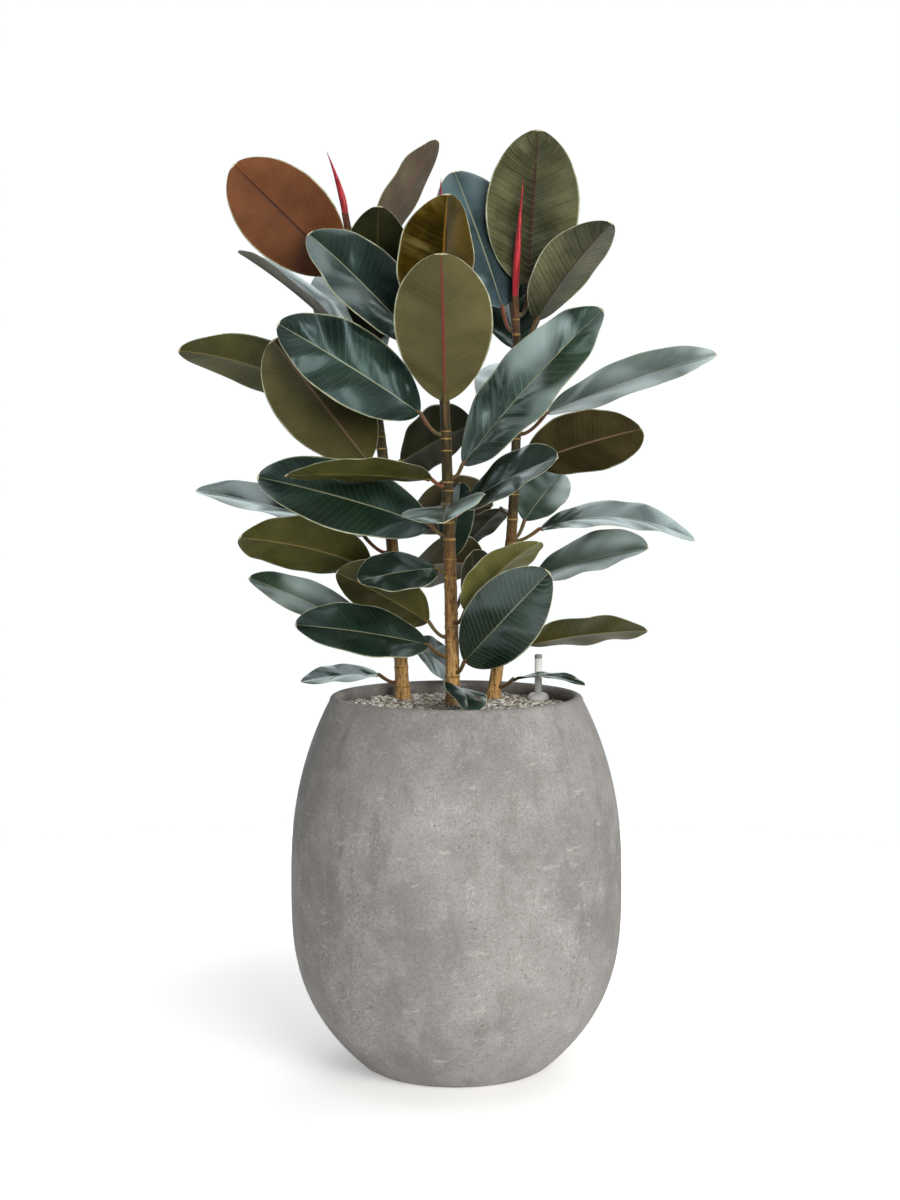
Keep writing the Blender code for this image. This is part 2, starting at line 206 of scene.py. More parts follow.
# One row per leaf: stem, node height, petiole, heading, rise, length, width, roll, arch, fold.
# Heading runs from +X (0) over +Y (90, away from the front); roll turns the upper side to the right.
# The leaf stands for the node that has its name after leaf_.
Leaf = namedtuple("Leaf", "stem node petiole heading rise length width roll arch fold")
LEAF_ROWS = {
    "left_1": ("left", 1.040, 0.030, -150, 40, 0.205, 0.121, 66, 0.02, 8),
    "left_2": ("left", 0.944, 0.030, 154, 36, 0.220, 0.100, 8, 0.03, 32),
    "left_3": ("left", 0.848, 0.040, -175, 20, 0.246, 0.104, 42, 0.09, 12),
    "left_4": ("left", 0.780, 0.035, -141, 46, 0.223, 0.126, 55, 0.02, 10),
    "left_5": ("left", 0.932, 0.040, -75, 82, 0.178, 0.098, -15, 0.02, 10),
    "left_6": ("left", 0.684, 0.040, 178, 15, 0.236, 0.110, -20, 0.03, 16),
    "left_7": ("left", 0.646, 0.035, -154, 13, 0.194, 0.112, 42, 0.05, 10),
    "left_8": ("left", 0.547, 0.030, -171, 26, 0.194, 0.080, -38, 0.03, 14),
    "left_9": ("left", 0.506, 0.025, -170, -4, 0.107, 0.055, -20, 0.04, 12),
    "left_10": ("left", 1.058, 0.030, 8, 60, 0.178, 0.075, -42, 0.02, 12),
    "middle_1": ("middle", 0.940, 0.040, -84, 80, 0.180, 0.134, 26, 0.04, 28),
    "middle_2": ("middle", 0.930, 0.045, 180, 45, 0.202, 0.120, -52, 0.03, 22),
    "middle_3": ("middle", 0.855, 0.040, -92, 57, 0.219, 0.130, 0, 0.04, 10),
    "middle_4": ("middle", 0.845, 0.040, -163, 31, 0.223, 0.112, -74, 0.03, 10),
    "middle_5": ("middle", 0.788, 0.022, -16, 47, 0.276, 0.124, 56, 0.03, 12),
    "middle_6": ("middle", 0.777, 0.020, -152, 2, 0.210, 0.095, 20, 0.02, 12),
    "middle_7": ("middle", 0.735, 0.030, -42, 22, 0.168, 0.090, 50, 0.03, 14),
    "middle_8": ("middle", 0.733, 0.048, -92, -8, 0.125, 0.116, 14, 0.02, 16),
    "middle_9": ("middle", 0.712, 0.020, -170, 16, 0.240, 0.116, -54, 0.03, 10),
    "middle_10": ("middle", 0.662, 0.014, -148, -6, 0.120, 0.078, -36, 0.03, 8),
    "middle_11": ("middle", 0.594, 0.025, -45, 36, 0.165, 0.076, -14, 0.06, 12),
    "middle_12": ("middle", 0.528, 0.020, -49, 38, 0.208, 0.102, 108, 0.02, 8),
    "middle_13": ("middle", 0.549, 0.030, -159, 10, 0.188, 0.089, -48, 0.03, 12),
    "middle_14": ("middle", 0.500, 0.025, -83, -8, 0.121, 0.062, -20, 0.08, 10),
    "middle_15": ("middle", 0.575, 0.030, 177, 28, 0.140, 0.100, 55, 0.03, 12),
    "right_1": ("right", 1.005, 0.040, 20, 86, 0.210, 0.128, -110, 0.02, 8),
    "right_2": ("right", 0.984, 0.035, 150, 68, 0.201, 0.118, -44, 0.03, 14),
    "right_3": ("right", 0.965, 0.040, -30, 48, 0.168, 0.098, -30, 0.06, 24),
    "right_4": ("right", 0.845, 0.045, -11, 19, 0.241, 0.118, 28, 0.02, 12),
    "right_5": ("right", 0.796, 0.018, -40, 14, 0.194, 0.099, -52, 0.03, 8),
    "right_6": ("right", 0.704, 0.030, 46, 40, 0.100, 0.070, 30, 0.03, 12),
    "right_7": ("right", 0.700, 0.035, -1, -4, 0.212, 0.096, 20, 0.12, 12),
    "right_8": ("right", 0.626, 0.040, -30, 15, 0.178, 0.106, 34, 0.03, 20),
    "right_9": ("right", 0.540, 0.035, -16, 8, 0.170, 0.088, -30, 0.03, 12),
    "right_10": ("right", 0.500, 0.025, -38, 0, 0.118, 0.040, 4, 0.07, 12),
    "rear_1": ("left", 0.905, 0.040, 110, 40, 0.215, 0.110, 0, 0.04, 12),
    "rear_2": ("left", 0.795, 0.020, 25, 25, 0.120, 0.115, -55, 0.03, 12),
    "rear_3": ("left", 0.718, 0.030, 40, 4, 0.150, 0.100, -60, 0.05, 12),
    "rear_4": ("left", 0.648, 0.025, 48, 0, 0.150, 0.096, -55, 0.05, 12),
    "rear_5": ("right", 0.930, 0.040, 96, 45, 0.205, 0.105, 0, 0.04, 12),
    "rear_6": ("right", 0.825, 0.040, 90, 25, 0.225, 0.112, 0, 0.04, 12),
    "rear_7": ("right", 0.735, 0.030, 115, -28, 0.130, 0.066, 0, 0.03, 12),
    "rear_8": ("right", 0.600, 0.035, 85, 5, 0.190, 0.095, 0, 0.05, 12),
    "rear_9": ("middle", 0.895, 0.045, 94, 36, 0.195, 0.100, 0, 0.04, 12),
    "rear_10": ("left", 0.552, 0.014, 40, -32, 0.088, 0.070, 55, 0.04, 10),
    "rear_11": ("left", 1.060, 0.030, 158, 34, 0.150, 0.084, 0, 0.04, 12),
    "rear_12": ("right", 0.985, 0.045, 98, 58, 0.180, 0.095, 0, 0.04, 12),
    "rear_13": ("middle", 0.660, 0.025, 80, 58, 0.115, 0.050, 0, 0.04, 12),
    "rear_14": ("middle", 0.612, 0.025, 58, 34, 0.085, 0.064, -80, 0.04, 12),
}
LEAVES = {name: Leaf(*row) for name, row in LEAF_ROWS.items()}

# How much a blade ripples, and how much it wrinkles, where that isn't left to chance
RIPPLED = {"right_1": 2.0, "middle_1": 1.8, "middle_2": 1.2, "middle_4": 1.7,
           "middle_5": 2.1, "right_4": 1.2}
WRINKLED = {"right_1": 2.0, "middle_1": 1.4}

# Upper sides: dark green, veined, with pale painted sheen under a coat that shines or not, and one with a
# painted blue-grey reflection
Upper = namedtuple("Upper", "dark light bloom ribbing coat roughness", defaults=[0.30, (0.22, 0.32)])
UPPER_LOOKS = {
    "leaf_upper": Upper("#0b160f", "#1b2c20", 0.03, 0.06),
    "leaf_upper_ribbed": Upper("#141e14", "#283626", 0.06, 0.27),
    # These two carry strong pale painted sheen, patches that stand in for reflections
    "leaf_upper_painted_sheen": Upper("#141f16", "#344838", 0.90, 0.12),
    "leaf_upper_satin_painted_sheen": Upper("#141f16", "#344838", 0.90, 0.12, 0.10, (0.36, 0.48)),
    # Blue-grey colour that is a painted reflection
    "leaf_upper_painted_blue_sheen": Upper("#222f33", "#3c4f55", 0.16, 0.04),
}
# Leaves whose upper side isn't the dark green one
UPPER_KINDS = {
    "leaf_upper_ribbed": ("middle_12",),
    # Leaves with strong painted sheen on the upper side
    "leaf_upper_painted_sheen": ("middle_5", "middle_8"),
    "leaf_upper_satin_painted_sheen": ("right_4", "right_6", "right_8", "left_8"),
    # Leaf with a painted blue-grey reflection on its upper side
    "leaf_upper_painted_blue_sheen": ("right_2",),
}

# Under sides that aren't the usual olive
UNDER_TONES = {
    "copper": ("left_1",),
    "plum": ("left_10",),
    "gold": ("middle_1",),
    "red_rib": ("middle_3",),
    # A lighter colour as painted light
    "painted_light": ("middle_11",),
    "umber": ("left_4",),
    "brown": ("right_5", "rear_3", "rear_4", "rear_10"),
    # Leaves inside the crown: a darker colour as painted shade
    "painted_shade": ("left_5", "rear_2", "rear_7", "rear_14"),
    "grey_olive": ("right_1", "right_3"),
}
# Darker and lighter patches and the midrib
UNDER_COLOURS = {
    "olive": ("#33330f", "#4e4c22", "#6a5e34"),
    # Lighter olive as painted light
    "painted_light": ("#53532a", "#76763f", "#8a7f50"),
    "copper": ("#55301a", "#704426", "#3a2014"),
    "plum": ("#54483a", "#766a59", "#6a4a3a"),
    "gold": ("#1e1703", "#54420a", "#6e5016"),
    "red_rib": ("#474224", "#5c5530", "#6e2826"),
    "brown": ("#2e2912", "#494022", "#75604a"),
    # Painted shade for leaves inside the crown
    "painted_shade": ("#1a1b09", "#2f301a", "#3a3a1e"),
    "umber": ("#3a3717", "#555030", "#75604a"),
    "grey_olive": ("#262810", "#626142", "#3a2417"),
}
# Relief, roughness and specular level of the usual under side and of the others
SATIN_FINISH = (0.22, (0.44, 0.56), 0.24)
UNDER_FINISH = {
    "gold": (0.12, (0.24, 0.36), 0.60),
    "grey_olive": (0.90, (0.36, 0.46), 0.45),
    "painted_shade": (0.22, (0.50, 0.60), 0.12),
    "brown": (0.22, (0.48, 0.58), 0.16),
}


def linear(code):
    """Linear RGBA of a hex colour."""
    channels = [int(code[i:i + 2], 16) / 255 for i in (1, 3, 5)]
    return tuple(c / 12.92 if c <= 0.04045 else ((c + 0.055) / 1.055) ** 2.4 for c in channels) + (1.0,)


class Tree:
    """Small helper that adds and links nodes of one node tree."""

    def __init__(self, owner):
        owner.use_nodes = True
        self.tree = owner.node_tree

    def add(self, kind, values, **settings):
        """New node with these settings, and with a value or a link for each socket named."""
        node = self.tree.nodes.new(kind)
        for key, value in settings.items():
            setattr(node, key, value)
        for key, value in values.items():
            self.put(node.inputs[key], value)
        return node

    def put(self, socket, value):
        if isinstance(value, bpy.types.NodeSocket):
            self.tree.links.new(value, socket)
        else:
            socket.default_value = value

    def math(self, operation, first, second=0.0, third=0.0):
        values = {0: first, 1: second, 2: third}
        return self.add("ShaderNodeMath", values, operation=operation).outputs[0]

    def times(self, first, second):
        return self.math("MULTIPLY", first, second)

    def fade(self, value, low, high, start=0.0, end=1.0):
        """Smooth step from start to end as the value runs from low to high."""
        values = dict(enumerate((value, low, high, start, end)))
        return self.add("ShaderNodeMapRange", values, interpolation_type="SMOOTHSTEP").outputs[0]

    def blend(self, share, first, second):
        """Mix of two numbers."""
        return self.add("ShaderNodeMix", {0: share, 2: first, 3: second}).outputs[0]


class Nodes(Tree):
    """Node tree of one material, with its shader."""

    def __init__(self, name):
        self.material = bpy.data.materials.new(name)
        super().__init__(self.material)
        self.shader = self.tree.nodes["Principled BSDF"]

    def set(self, **values):
        for key, value in values.items():
            self.put(self.shader.inputs[key.replace("_", " ")], value)

    def mix(self, share, first, second):
        """Mix of two colours."""
        values = {"Factor": share, 6: first, 7: second}
        return self.add("ShaderNodeMix", values, data_type="RGBA").outputs[2]

    def mottled(self, value, low, high, dark, light):
        """Dark colour that turns light as the value runs from low to high."""
        return self.mix(self.fade(value, low, high), linear(dark), linear(light))

    def tint(self, base, value, low, high, share, code):
        """The base with up to a share of a colour mixed in as the value runs from low to high."""
        return self.mix(self.fade(value, low, high, 0.0, share), base, linear(code))

    def noise(self, scale, detail=3.0, rough=0.5, vector=None):
        values = {"Scale": scale, "Detail": detail, "Roughness": rough, "Vector": vector or self.place()}
        return self.add("ShaderNodeTexNoise", values).outputs["Fac"]

    def place(self):
        return self.add("ShaderNodeTexCoord", {}).outputs["Object"]

    def stretched(self, x, y, z):
        return self.add("ShaderNodeMapping", {"Vector": self.place(), "Scale": (x, y, z)}).outputs["Vector"]

    def bump(self, height, distance, strength, under=None):
        values = {"Strength": strength, "Distance": distance, "Height": height}
        if under is not None:
            values["Normal"] = under
        return self.add("ShaderNodeBump", values).outputs["Normal"]


def leaf_coordinates(nodes):
    """Share along the blade, share from the midrib to the margin, and the phase of the side veins."""
    uv = nodes.add("ShaderNodeUVMap", {}, uv_map="Blade")
    split = nodes.add("ShaderNodeSeparateXYZ", {0: uv.outputs["UV"]})
    along = split.outputs["Y"]
    side = nodes.math("ABSOLUTE", nodes.math("SUBTRACT", split.outputs["X"], 0.5))
    across = nodes.times(side, 2.0)
    slant = nodes.times(across, -VEIN_SLANT)
    wobble = nodes.times(nodes.noise(18.0, 2.0), 0.02)
    phase = nodes.math("ADD", nodes.math("ADD", along, slant), wobble)
    return along, across, phase


def vein_lines(nodes, phase, count, power):
    """Thin ridges, one for each side vein."""
    turn = nodes.times(phase, count * 2 * math.pi)
    wave = nodes.math("MULTIPLY_ADD", nodes.math("SINE", turn), 0.5, 0.5)
    return nodes.math("POWER", wave, power)


def upper_material(name):
    """Waxy upper side: thin pale midrib, side veins, and pale painted sheen towards tip and margins."""
    look = UPPER_LOOKS[name]
    nodes = Nodes(name)
    along, across, phase = leaf_coordinates(nodes)
    base = nodes.mottled(nodes.noise(16.0, 4.0, 0.6), 0.35, 0.7, look.dark, look.light)
    # Pale patches of painted sheen, stronger towards the tip and the margins
    patches = nodes.fade(nodes.noise(13.0, 1.0), 0.40, 0.64, 0.0, look.bloom)
    patches = nodes.times(patches, nodes.fade(along, 0.25, 0.85, 0.22, 1.0))
    patches = nodes.times(patches, nodes.fade(across, 0.05, 0.60, 0.30, 1.0))
    base = nodes.mix(patches, base, linear("#b3c2c0"))
    veins = vein_lines(nodes, phase, VEIN_COUNT, 14.0)
    base = nodes.mix(nodes.times(veins, look.ribbing), base, linear("#6f8478"))
    base = nodes.tint(base, across, 0.92, 1.0, 0.35, "#7d8c78")
    midrib = nodes.fade(across, 0.010, 0.026, 0.75, 0.0)
    base = nodes.mix(midrib, base, linear("#8d8a6e"))
    wax = nodes.fade(nodes.noise(7.0, 3.0), 0.38, 0.72, *look.roughness)
    fine = vein_lines(nodes, phase, NETTING_COUNT, 4.0)
    normal = nodes.bump(veins, 0.0005, look.ribbing * 1.6)
    normal = nodes.bump(fine, 0.0002, look.ribbing * 0.6, normal)
    nodes.set(Base_Color=base, Roughness=wax, Normal=normal)
    nodes.set(Coat_Weight=look.coat, Coat_Roughness=0.12, Coat_Tint=linear("#d9f1ee"))
    nodes.set(Specular_IOR_Level=0.70, Specular_Tint=linear("#d1eae8"))
    return nodes.material


def under_material(tone):
    """Satin under side: fine netting and side veins, with the midrib in its own colour."""
    dark, light, rib = UNDER_COLOURS[tone]
    nodes = Nodes(f"leaf_under_{tone}")
    _, across, phase = leaf_coordinates(nodes)
    base = nodes.mottled(nodes.noise(12.0, 4.0, 0.6), 0.32, 0.72, dark, light)
    veins = vein_lines(nodes, phase, VEIN_COUNT, 9.0)
    fine = nodes.noise(260.0, 3.0, 0.7)
    base = nodes.mix(nodes.times(veins, 0.22), base, linear(light))
    base = nodes.tint(base, fine, 0.45, 0.75, 0.25, dark)
    base = nodes.mix(nodes.fade(across, 0.05, 0.75, 0.35, 0.0), base, linear(dark))
    base = nodes.tint(base, across, 0.90, 1.0, 0.40, light)
    midrib = nodes.fade(across, 0.016, 0.040, 0.95, 0.0)
    base = nodes.mix(midrib, base, linear(rib))
    netting = vein_lines(nodes, phase, NETTING_COUNT, 3.0)
    relief, gloss, shine = UNDER_FINISH.get(tone, SATIN_FINISH)
    normal = nodes.bump(veins, 0.0009, relief)
    normal = nodes.bump(netting, 0.0003, relief, normal)
    normal = nodes.bump(fine, 0.0002, 0.35, normal)
    roughness = nodes.fade(nodes.noise(9.0, 3.0), 0.35, 0.75, *gloss)
    nodes.set(Base_Color=base, Roughness=roughness, Normal=normal)
    nodes.set(Specular_IOR_Level=shine)
    if tone == "gold":
        nodes.set(Specular_Tint=linear("#ffe08a"))
    return nodes.material


def speckled_material(name, scale, low, dark, light, roughness):
    """Two close colours in patches."""
    nodes = Nodes(name)
    base = nodes.mottled(nodes.noise(scale, 2.0), low, 0.7, dark, light)
    nodes.set(Base_Color=base, Roughness=roughness)
    return nodes.material


def stalk_material():
    """Leaf stalk: green-brown, flushed red along its length."""
    nodes = Nodes("leaf_stalk")
    base = nodes.mottled(nodes.noise(28.0, 3.0), 0.38, 0.66, "#4d4220", "#6b3022")
    streaks = nodes.noise(90.0, 3.0, 0.6, nodes.stretched(6.0, 6.0, 1.0))
    base = nodes.tint(base, streaks, 0.4, 0.7, 0.35, "#86704a")
    nodes.set(Base_Color=base, Roughness=0.42, Normal=nodes.bump(streaks, 0.0003, 0.4))
    return nodes.material


def bark_material():
    """Orange-brown bark low down, dark olive-green wood above it that is partly painted shade, red-brown at
    the top.
    """
    nodes = Nodes("bark")
    height = nodes.add("ShaderNodeSeparateXYZ", {0: nodes.place()})
    ripple = nodes.math("MULTIPLY_ADD", nodes.noise(30.0, 3.0), 0.10, -0.05)
    level = nodes.math("ADD", height.outputs["Z"], ripple)
    ramp = nodes.add("ShaderNodeValToRGB", {0: nodes.fade(level, FILL_TOP, BARK_TOP)})
    while len(ramp.color_ramp.elements) < len(BARK_AND_SHADE_COLOURS):
        ramp.color_ramp.elements.new(0.5)
    for element, (place, code) in zip(ramp.color_ramp.elements, BARK_AND_SHADE_COLOURS):
        element.position = place
        element.color = linear(code)
    streaks = nodes.noise(34.0, 5.0, 0.65, nodes.stretched(9.0, 9.0, 1.0))
    # Pale streaks fade upwards, partly as painted shade among the leaves
    lower = nodes.fade(level, 0.53, 0.72, 0.60, 0.12)
    pale = nodes.times(nodes.fade(streaks, 0.42, 0.64), lower)
    base = nodes.mix(pale, ramp.outputs[0], linear("#b3905e"))
    dark = nodes.noise(70.0, 4.0, 0.6, nodes.stretched(5.0, 5.0, 1.4))
    base = nodes.tint(base, dark, 0.46, 0.66, 0.80, "#33210f")
    base = nodes.tint(base, nodes.noise(420.0, 2.0), 0.66, 0.74, 0.3, "#c9b48a")
    normal = nodes.bump(streaks, 0.0010, 0.7)
    normal = nodes.bump(nodes.noise(260.0, 4.0, 0.7), 0.0005, 0.6, normal)
    nodes.set(Base_Color=base, Roughness=0.62, Normal=normal)
    return nodes.material


def scar_material():
    """Pale rings where leaves have dropped."""
    nodes = Nodes("leaf_scar")
    shade = nodes.fade(nodes.noise(140.0, 3.0), 0.40, 0.65)
    base = nodes.mix(shade, linear("#7a5f33"), linear("#a68750"))
    nodes.set(Base_Color=base, Roughness=0.7, Normal=nodes.bump(shade, 0.0004, 0.6))
    return nodes.material


def sheath_material():
    """Crimson rolled leaf with darker lengthwise streaks."""
    nodes = Nodes("young_sheath")
    streaks = nodes.noise(60.0, 3.0, 0.6, nodes.stretched(7.0, 7.0, 0.6))
    base = nodes.mottled(streaks, 0.38, 0.68, "#7d1620", "#c4353c")
    nodes.set(Base_Color=base, Roughness=0.36, Normal=nodes.bump(streaks, 0.0005, 0.5))
    nodes.set(Coat_Weight=0.15, Coat_Roughness=0.25)
    return nodes.material


def scratches(nodes, tilt):
    """Short pale marks at a tilt, in loose groups."""
    turned = nodes.stretched(1.0, 1.0, 0.35)
    turned.node.inputs["Rotation"].default_value = (tilt, tilt, 0.0)
    marks = nodes.fade(nodes.noise(520.0, 2.0, 0.5, turned), 0.58, 0.68)
    group = nodes.fade(nodes.noise(11.0, 4.0, 0.6), 0.52, 0.68, 0.0, 0.42)
    return nodes.times(marks, group)


def concrete_material():
    """Mottled grey concrete with fine grain, small pits and light scuffs."""
    nodes = Nodes("planter_concrete")
    base = nodes.mottled(nodes.noise(5.5, 5.0, 0.62), 0.34, 0.68, "#7c7976", "#928e8b")
    base = nodes.tint(base, nodes.noise(26.0, 5.0, 0.65), 0.42, 0.70, 0.50, "#a19d9a")
    streaks = nodes.noise(11.0, 5.0, 0.65, nodes.stretched(2.6, 2.6, 0.7))
    base = nodes.tint(base, streaks, 0.50, 0.72, 0.50, "#6c6965")
    grain = nodes.noise(330.0, 4.0, 0.75)
    base = nodes.tint(base, grain, 0.44, 0.66, 0.42, "#5b5856")
    dust = nodes.noise(210.0, 5.0, 0.8, nodes.stretched(1.0, 1.0, 1.6))
    dusty = nodes.fade(nodes.noise(10.0, 4.0, 0.6), 0.42, 0.62, 0.15, 0.55)
    base = nodes.mix(nodes.times(nodes.fade(dust, 0.54, 0.68), dusty), base, linear("#bab7b4"))
    base = nodes.mix(scratches(nodes, 0.6), base, linear("#c2c0bd"))
    base = nodes.mix(scratches(nodes, -0.9), base, linear("#bebcb9"))
    scuffs = nodes.noise(15.0, 7.0, 0.75, nodes.stretched(1.6, 1.6, 5.0))
    base = nodes.tint(base, scuffs, 0.58, 0.68, 0.45, "#b6b2ae")
    pits = nodes.add("ShaderNodeTexVoronoi", {"Scale": 95.0, "Vector": nodes.place()})
    pit = nodes.fade(pits.outputs["Distance"], 0.06, 0.16, 1.0, 0.0)
    pit = nodes.times(pit, nodes.fade(nodes.noise(12.0, 2.0), 0.55, 0.65))
    base = nodes.mix(nodes.times(pit, 0.4), base, linear("#4f4b47"))
    depth = nodes.math("SUBTRACT", grain, nodes.times(pit, 3.0))
    normal = nodes.bump(depth, 0.0007, 0.7)
    normal = nodes.bump(nodes.noise(40.0, 5.0, 0.6), 0.0016, 0.35, normal)
    roughness = nodes.fade(scuffs, 0.4, 0.7, 0.74, 0.88)
    nodes.set(Base_Color=base, Roughness=roughness, Normal=normal)
    nodes.set(Specular_IOR_Level=0.22)
    return nodes.material


def plain_material(name, code, roughness, grain=0.0, **settings):
    """One colour with a slight grain of tone and relief."""
    nodes = Nodes(name)
    base = linear(code)
    if grain:
        speckle = nodes.noise(520.0, 2.0, 0.6)
        darker = tuple(c * (1 - grain) for c in base[:3]) + (1.0,)
        nodes.set(Normal=nodes.bump(speckle, 0.0002, 0.4))
        base = nodes.mix(nodes.fade(speckle, 0.35, 0.7), darker, base)
    nodes.set(Base_Color=base, Roughness=roughness, **settings)
    return nodes.material


def floor_material():
    """Pale floor that brightens outwards into the white behind it."""
    nodes = Nodes("floor_pale")
    reach = nodes.add("ShaderNodeVectorMath", {0: nodes.place()}, operation="LENGTH")
    glow = nodes.fade(reach.outputs["Value"], 0.5, 1.3, 0.30, 0.80)
    nodes.set(Base_Color=linear("#f4f4f3"), Roughness=0.9)
    nodes.set(Emission_Color=linear("#ffffff"), Emission_Strength=glow)
    return nodes.material


def turns(sides):
    return [2 * math.pi * side / sides for side in range(sides)]


def level_direction(angle):
    return Vector((math.cos(angle), math.sin(angle), 0.0))


def linked(name, data):
    """New object in the scene."""
    thing = bpy.data.objects.new(name, data)
    bpy.context.scene.collection.objects.link(thing)
    return thing


def place_piece(name, mesh, node, slot):
    """Link a mesh, let it ride on the body and stand for its node."""
    piece = linked(name, mesh)
    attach(piece, "root")
    if node:
        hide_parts(node)
    return piece


def finished_mesh(name, body, materials):
    """Mesh of a finished body, with its materials."""
    mesh = bpy.data.meshes.new(name)
    body.to_mesh(mesh)
    body.free()
    for material in materials:
        mesh.materials.append(material)
    return mesh


def skin(body, rings):
    """Smooth quads between rings, and a cap on the last ring; returns the quads band by band."""
    bands = []
    for low, high in zip(rings, rings[1:]):
        band = []
        for i in range(len(low)):
            j = (i + 1) % len(low)
            face = body.faces.new((low[i], low[j], high[j], high[i]))
            face.smooth = True
            band.append(face)
        bands.append(band)
    body.faces.new(rings[-1])
    return bands


def stem_point(name, height):
    stem = STEMS[name]
    foot = Vector((stem.foot[0], stem.foot[1], FILL_TOP))
    share = (height - FILL_TOP) / (stem.tip[2] - FILL_TOP)
    point = foot.lerp(Vector(stem.tip), share)
    point.x += stem.bow * 4 * share * (1 - share)
    point.z = height
    return point


def stem_radius(name, height):
    stem = STEMS[name]
    share = (height - FILL_TOP) / (stem.tip[2] - FILL_TOP)
    radius = stem.foot_radius + (stem.tip_radius - stem.foot_radius) * share
    flare = max(0.0, 1 - (height - FILL_TOP) / FLARE_HEIGHT)
    return radius * (1 + FLARE * flare ** 2)


def tilted(rise):
    """Unit vector in the leaf's upright plane, which is X and Z before the leaf is turned."""
    rise = math.radians(rise)
    return Vector((math.cos(rise), 0.0, math.sin(rise)))


def half_width(leaf, share):
    """Outline of the blade: rounded at the base, pointed at the tip."""
    widest = BASE_POWER / (BASE_POWER + TIP_POWER)
    peak = widest ** BASE_POWER * (1 - widest) ** TIP_POWER
    curve = max(share, 0.0) ** BASE_POWER * max(1 - share, 0.0) ** TIP_POWER / peak
    tip = DRIP_TIP * (1 - 0.7 * max(0.0, (share - 0.97) / 0.03))
    return max(leaf.width / 2 * curve, tip)


def petiole_points(leaf):
    """The stalk leaves the stem level and bends up to the foot of the blade."""
    bend = Vector((leaf.petiole * 0.3, 0.0, 0.0))
    end = tilted(min(75.0, max(10.0, 30.0 + leaf.rise / 2))) * leaf.petiole
    points = [Vector((-PETIOLE_SUNK, 0.0, 0.0))]
    for step in range(PETIOLE_STEPS + 1):
        t = step / PETIOLE_STEPS
        points.append(bend * 2 * t * (1 - t) + end * t ** 2)
    return points


def blade_axes(leaf):
    """Unit vectors along the midrib, to the right of it and out of the upper side."""
    along = tilted(leaf.rise)
    upper = tilted(leaf.rise + 90)
    roll = math.radians(leaf.roll)
    normal = upper * math.cos(roll) + along.cross(upper) * math.sin(roll)
    return along, along.cross(normal), normal


def leaf_matrix(leaf):
    """Carries the leaf from its own frame to its node on the stem."""
    heading = math.radians(leaf.heading)
    out = level_direction(heading)
    centre = stem_point(leaf.stem, leaf.node)
    slope = abs((stem_point(leaf.stem, leaf.node + 0.01) - centre).dot(out)) / 0.01
    start = centre + out * (stem_radius(leaf.stem, leaf.node) + slope * 2 * PETIOLE_RADIUS)
    return Matrix.Translation(start) @ Matrix.Rotation(heading, 4, "Z")


Corner = namedtuple("Corner", "vertex share across upper")


class Blade:
    """Middle surface of one leaf, with its fold, arch, wavy margin and ripples between the veins."""

    def __init__(self, name, leaf, seed):
        chance = random.Random(seed)
        self.leaf = leaf
        self.foot = petiole_points(leaf)[-1]
        self.along, self.right, self.normal = blade_axes(leaf)
        ranges = (WAVE_COUNTS, PHASES, WAVE_SIZES)
        self.waves = [[chance.uniform(*span) for span in ranges] for _ in range(2)]
        self.phase = chance.uniform(*PHASES)
        self.ripples = chance.uniform(*RIPPLE_COUNTS)
        self.wrinkles = chance.uniform(*WRINKLE_COUNTS)
        self.rippled = RIPPLED.get(name, chance.uniform(*RIPPLE_SIZES))
        self.wrinkled = WRINKLED.get(name, USUAL_WRINKLES)
        self.sunk = leaf.length * THICKNESS_SHARE / 2

    def lift(self, share, across, rise):
        """Height over the midrib, where rise is what the fold alone would give at the margin."""
        reach = abs(across)
        lift = rise * reach * (1 - EDGE_FLATTENING * reach)
        count, turn, size = self.waves[0 if across < 0 else 1]
        body = min(1.0, 8 * share, 8 * (1 - share))
        lift += MARGIN_WAVE * size * body * reach ** 2 * math.sin(2 * math.pi * count * share + turn)
        side = SIDE_SHIFT if across < 0 else 0.0
        turns = self.ripples * (share - VEIN_SLANT * reach)
        ripple = math.sin(2 * math.pi * turns + self.phase + side)
        ripple += ECHO_SIZE * math.sin(ECHO_TURNS * math.pi * turns + 2 * side)
        lift += RIPPLE * self.rippled * body * ripple * 4 * reach * (1 - 0.75 * reach)
        wrinkle = math.sin(2 * math.pi * self.wrinkles * (share - VEIN_SLANT * reach) + side)
        return lift + WRINKLE * self.wrinkled * body * wrinkle * 4 * reach * (1 - reach)

    def point(self, share, across):
        leaf = self.leaf
        width = half_width(leaf, share)
        fold = math.radians(leaf.fold)
        lift = self.lift(share, across, width * math.sin(fold))
        arch = leaf.arch * leaf.length * 4 * share * (1 - share) - self.sunk
        middle = self.foot + self.along * (leaf.length * share) + self.normal * arch
        return middle + self.right * (across * width * math.cos(fold)) + self.normal * lift


def stations():
    """Shares along the blade, closer together at the rounded base and at the point."""
    return [0.5 - 0.5 * math.cos(math.pi * (0.03 + 0.97 * i / BLADE_STEPS)) for i in range(BLADE_STEPS + 1)]


def across_line():
    return [-a for a in reversed(ACROSS[1:])] + list(ACROSS)


def rib_depth(leaf, share, across):
    """The midrib stands out of the under side and tapers to the tip."""
    width = half_width(leaf, share)
    reach = abs(across) * width / MIDRIB_REACH
    bell = max(0.0, 1 - reach ** 2)
    return MIDRIB_HEIGHT * bell * (1 - 0.85 * share)


def blade_rows(body, blade, upper):
    """Rows of corners over one side of the blade, from the foot to the tip."""
    rows = []
    for share in stations():
        row = []
        for across in across_line():
            offset = BLADE_THICKNESS / 2 * (1 - 0.6 * abs(across) ** 6)
            if not upper:
                offset = -offset - rib_depth(blade.leaf, share, across)
            vertex = body.verts.new(blade.point(share, across) + blade.normal * offset)
            row.append(Corner(vertex, share, across, upper))
        rows.append(row)
    return rows


